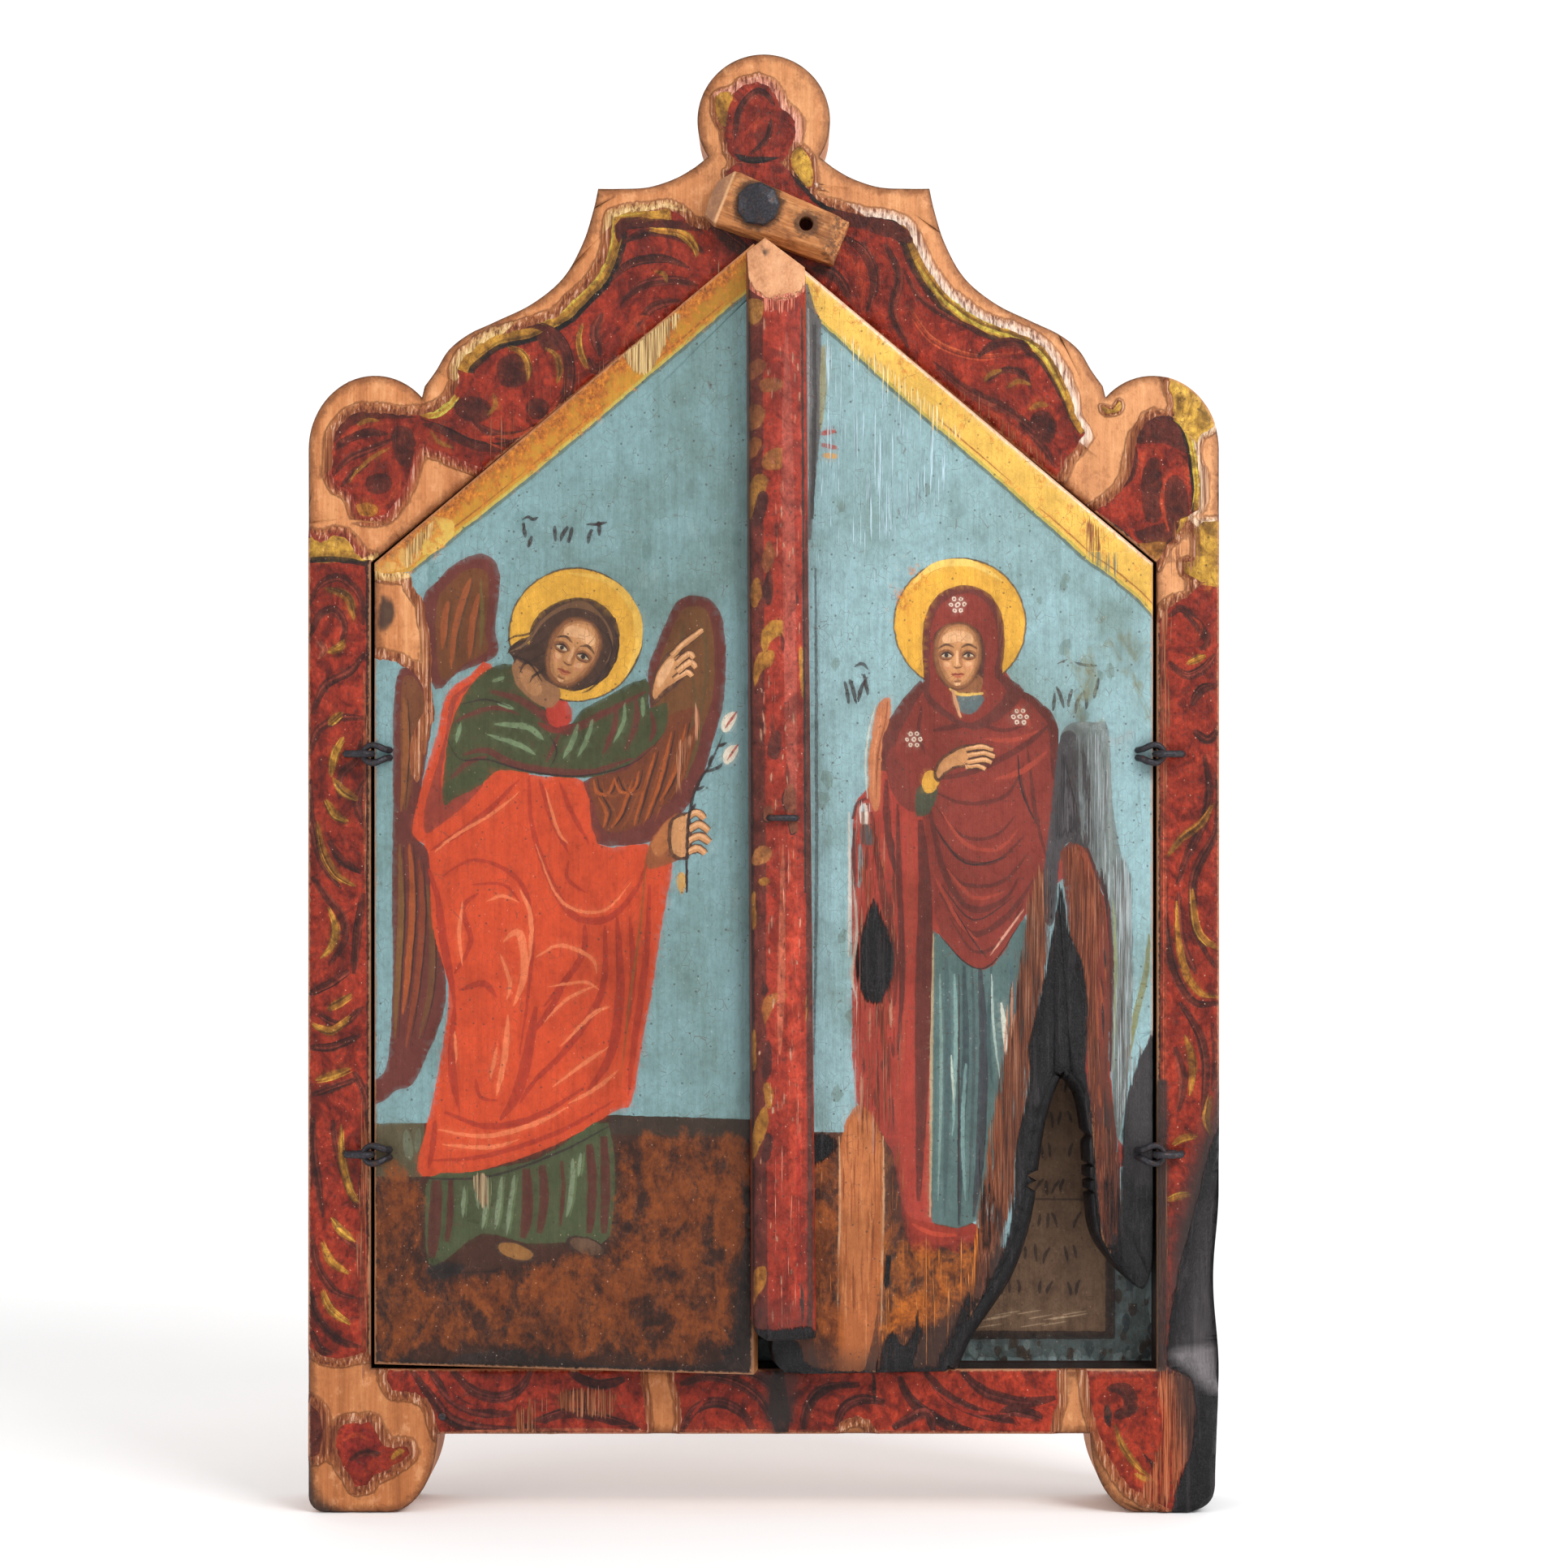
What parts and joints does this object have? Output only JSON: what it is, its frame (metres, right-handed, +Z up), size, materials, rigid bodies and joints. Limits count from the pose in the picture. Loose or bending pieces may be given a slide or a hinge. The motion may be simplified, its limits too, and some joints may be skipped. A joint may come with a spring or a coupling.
{
  "type": "folding house icon with turn button",
  "caption": "Small standing house icon: a hollowed board with a carved crest and two hinged painted doors that close over the picture, held by a wooden turn button.",
  "frame": {"origin": "on the floor, under the middle of the whole icon's bounding box", "axes": "+Z up, -Y the painted front, +X to the right as seen from the front"},
  "size_m": [0.281, 0.0636, 0.45],
  "materials": {
    "red_painted_wood": "worn red paint with maroon scrolls over bare wood",
    "blue_painted_wood": "worn blue-green paint with painted figures, burnt at the right",
    "strip_painted_wood": "worn red paint",
    "bare_wood": "bare, darkened with age",
    "forged_iron": "dark forged iron"
  },
  "bodies": {
    "case": {"case_board": "red_painted_wood", "button_nail": "forged_iron", "small_nail": "forged_iron", "left_eye_1": "forged_iron", "left_eye_2": "forged_iron", "right_eye_1": "forged_iron", "right_eye_2": "forged_iron"},
    "left_leaf": {"left_door": "blue_painted_wood", "left_ring_1": "forged_iron", "left_ring_2": "forged_iron"},
    "right_leaf": {"right_door": "blue_painted_wood", "closing_strip": "strip_painted_wood", "strip_staple": "forged_iron", "right_ring_1": "forged_iron", "right_ring_2": "forged_iron"},
    "button": {"turn_button": "bare_wood"}
  },
  "joints": [
    {"name": "right_door_hinge", "type": "hinge", "parent": "case", "child": "right_leaf", "pos_m": [0.1228, -0.00817, 0], "axis": [0, 0, 1], "range_deg": [-7, 150]},
    {"name": "left_door_hinge", "type": "hinge", "parent": "case", "child": "left_leaf", "pos_m": [-0.1228, -0.00817, 0], "axis": [0, 0, -1], "range_deg": [-7, 150]},
    {"name": "button_pivot", "type": "hinge", "parent": "case", "child": "button", "pos_m": [-0.0017, 0, 0.40184], "axis": [0, -1, 0], "range_deg": [0, 45]}
  ],
  "couplings": [
    {"joint": "left_door_hinge", "follows": "right_door_hinge", "ratio": 1}
  ]
}
